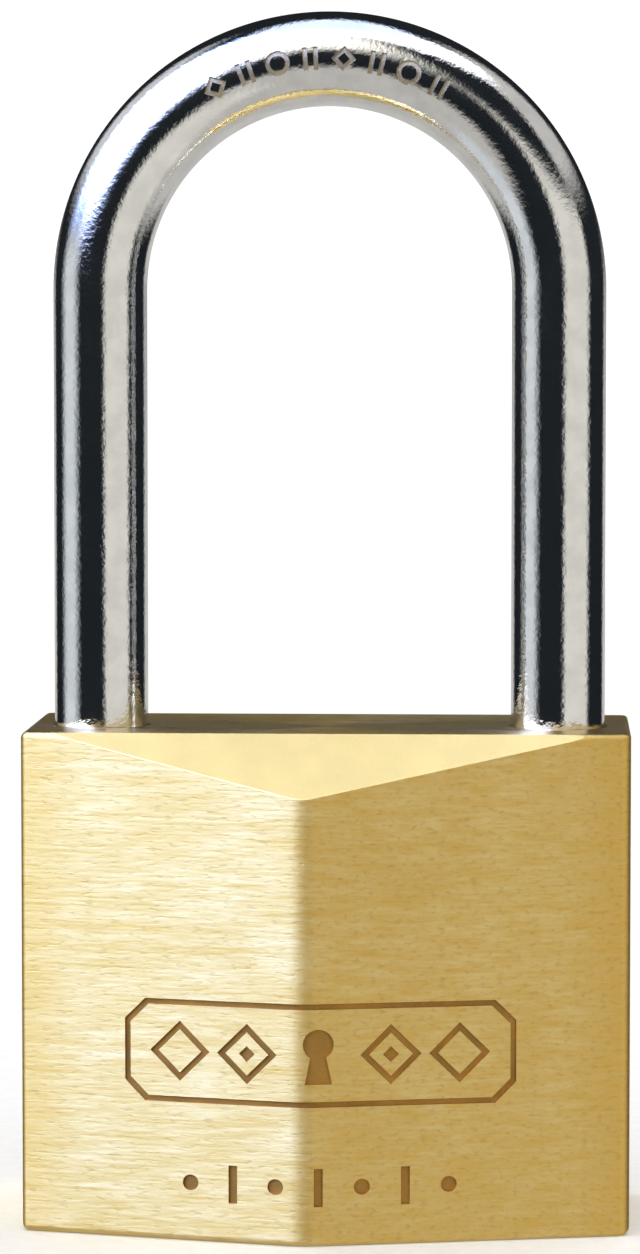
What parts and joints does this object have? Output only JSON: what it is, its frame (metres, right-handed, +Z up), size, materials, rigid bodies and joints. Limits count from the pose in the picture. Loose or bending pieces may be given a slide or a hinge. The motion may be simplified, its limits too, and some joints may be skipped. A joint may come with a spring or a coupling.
{
  "type": "padlock",
  "caption": "Solid-body padlock with a ridged front, a long round shackle, a pin-tumbler plug and two sliding bolts.",
  "frame": {"origin": "centre of the whole lock's box, at the flat underside that the plug's face is in", "axes": "+Z up along the shackle legs, -Y out of the ridged front, +X towards the toe leg, which leaves the body when the lock opens"},
  "size_m": [0.0384, 0.019, 0.0773],
  "materials": {
    "brushed_brass": "horizontally brushed bare brass",
    "plug_brass": "turned brass",
    "pin_brass": "turned brass",
    "polished_chrome": "polished chrome-plated hardened steel",
    "hardened_steel": "ground steel",
    "spring_steel": "drawn wire"
  },
  "bodies": {
    "lock_body": {"body": "brushed_brass", "shackle_retaining_pin": "pin_brass", "plug_retaining_pin": "pin_brass", "cross_bore_cap": "brushed_brass", "shackle_spring": "spring_steel", "front_bolt_spring": "spring_steel", "rear_bolt_spring": "spring_steel", "chamber_cap_1": "brushed_brass", "chamber_cap_2": "brushed_brass", "chamber_cap_3": "brushed_brass", "chamber_cap_4": "brushed_brass", "chamber_cap_5": "brushed_brass", "driver_spring_1": "spring_steel", "driver_spring_2": "spring_steel", "driver_spring_3": "spring_steel", "driver_spring_4": "spring_steel", "driver_spring_5": "spring_steel"},
    "shackle": {"shackle": "polished_chrome"},
    "plug": {"plug": "plug_brass", "cam": "pin_brass"},
    "toe_bolt": {"toe_bolt": "hardened_steel"},
    "heel_bolt": {"heel_bolt": "hardened_steel"},
    "key_pin_1": {"key_pin_1": "pin_brass"},
    "key_pin_2": {"key_pin_2": "pin_brass"},
    "key_pin_3": {"key_pin_3": "pin_brass"},
    "key_pin_4": {"key_pin_4": "pin_brass"},
    "key_pin_5": {"key_pin_5": "pin_brass"},
    "driver_pin_1": {"driver_pin_1": "hardened_steel"},
    "driver_pin_2": {"driver_pin_2": "hardened_steel"},
    "driver_pin_3": {"driver_pin_3": "hardened_steel"},
    "driver_pin_4": {"driver_pin_4": "hardened_steel"},
    "driver_pin_5": {"driver_pin_5": "hardened_steel"}
  },
  "joints": [
    {"name": "shackle_lift", "type": "slide", "parent": "lock_body", "child": "shackle", "axis": [0, 0, 1], "range_m": [0, 0.011], "deforming": ["shackle_spring"]},
    {"name": "plug_turn", "type": "hinge", "parent": "lock_body", "child": "plug", "pos_m": [0, 0.0009, 0], "axis": [0, 0, -1], "range_deg": [0, 90]},
    {"name": "toe_bolt_slide", "type": "slide", "parent": "lock_body", "child": "toe_bolt", "axis": [1, 0, 0], "range_m": [0, 0.0013], "deforming": ["rear_bolt_spring"]},
    {"name": "heel_bolt_slide", "type": "slide", "parent": "lock_body", "child": "heel_bolt", "axis": [-1, 0, 0], "range_m": [0, 0.0013], "deforming": ["front_bolt_spring"]},
    {"name": "key_pin_1_drop", "type": "slide", "parent": "plug", "child": "key_pin_1", "axis": [0, -1, 0], "range_m": [0, 0.00045]},
    {"name": "key_pin_2_drop", "type": "slide", "parent": "plug", "child": "key_pin_2", "axis": [0, -1, 0], "range_m": [0, 0.00165]},
    {"name": "key_pin_3_drop", "type": "slide", "parent": "plug", "child": "key_pin_3", "axis": [0, -1, 0], "range_m": [0, 0.00095]},
    {"name": "key_pin_4_drop", "type": "slide", "parent": "plug", "child": "key_pin_4", "axis": [0, -1, 0], "range_m": [0, 0.00215]},
    {"name": "key_pin_5_drop", "type": "slide", "parent": "plug", "child": "key_pin_5", "axis": [0, -1, 0], "range_m": [0, 0.00125]},
    {"name": "driver_pin_1_push", "type": "slide", "parent": "lock_body", "child": "driver_pin_1", "axis": [1, 0, 0], "range_m": [0, 0.0015], "stiffness_N_per_m": 50, "springref_m": -0.002, "deforming": ["driver_spring_1"]},
    {"name": "driver_pin_2_push", "type": "slide", "parent": "lock_body", "child": "driver_pin_2", "axis": [1, 0, 0], "range_m": [0, 0.0015], "stiffness_N_per_m": 50, "springref_m": -0.002, "deforming": ["driver_spring_2"]},
    {"name": "driver_pin_3_push", "type": "slide", "parent": "lock_body", "child": "driver_pin_3", "axis": [1, 0, 0], "range_m": [0, 0.0015], "stiffness_N_per_m": 50, "springref_m": -0.002, "deforming": ["driver_spring_3"]},
    {"name": "driver_pin_4_push", "type": "slide", "parent": "lock_body", "child": "driver_pin_4", "axis": [1, 0, 0], "range_m": [0, 0.0015], "stiffness_N_per_m": 50, "springref_m": -0.002, "deforming": ["driver_spring_4"]},
    {"name": "driver_pin_5_push", "type": "slide", "parent": "lock_body", "child": "driver_pin_5", "axis": [1, 0, 0], "range_m": [0, 0.0015], "stiffness_N_per_m": 50, "springref_m": -0.002, "deforming": ["driver_spring_5"]}
  ],
  "couplings": [
    {"joint": "toe_bolt_slide", "follows": "plug_turn", "m_per_rad": 0.0008276},
    {"joint": "heel_bolt_slide", "follows": "plug_turn", "m_per_rad": 0.0008276}
  ]
}
